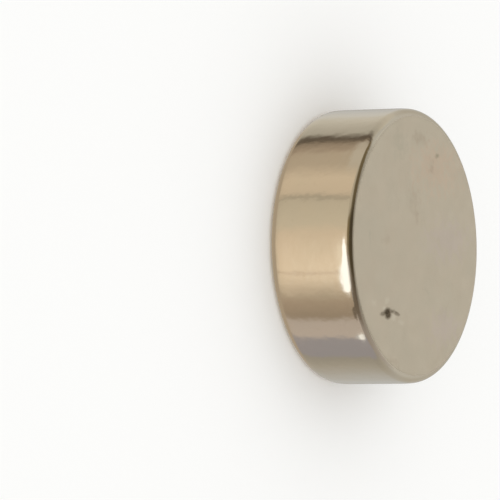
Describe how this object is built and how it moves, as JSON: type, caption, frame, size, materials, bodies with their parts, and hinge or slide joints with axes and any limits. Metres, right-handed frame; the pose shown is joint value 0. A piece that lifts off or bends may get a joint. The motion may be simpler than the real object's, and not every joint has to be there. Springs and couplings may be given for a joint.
{
  "type": "disc magnet",
  "caption": "Flat round magnet in bright nickel plating, with a polished rim, satin pole faces, rounded edges and a small nick in the upper face.",
  "frame": {"origin": "centre of the lower pole face, on the plane that the disc rests on", "axes": "+Z is the disc's own axis, from the lower pole face up to the upper one; the nick in the upper face lies towards +X and -Y"},
  "size_m": [0.012, 0.012, 0.004],
  "materials": {
    "nickel_plating": "nickel plating with a slightly warm tone, polished on the rim and edges and satin on the pole faces"
  },
  "bodies": {
    "root": {"disc": "nickel_plating"}
  },
  "joints": []
}
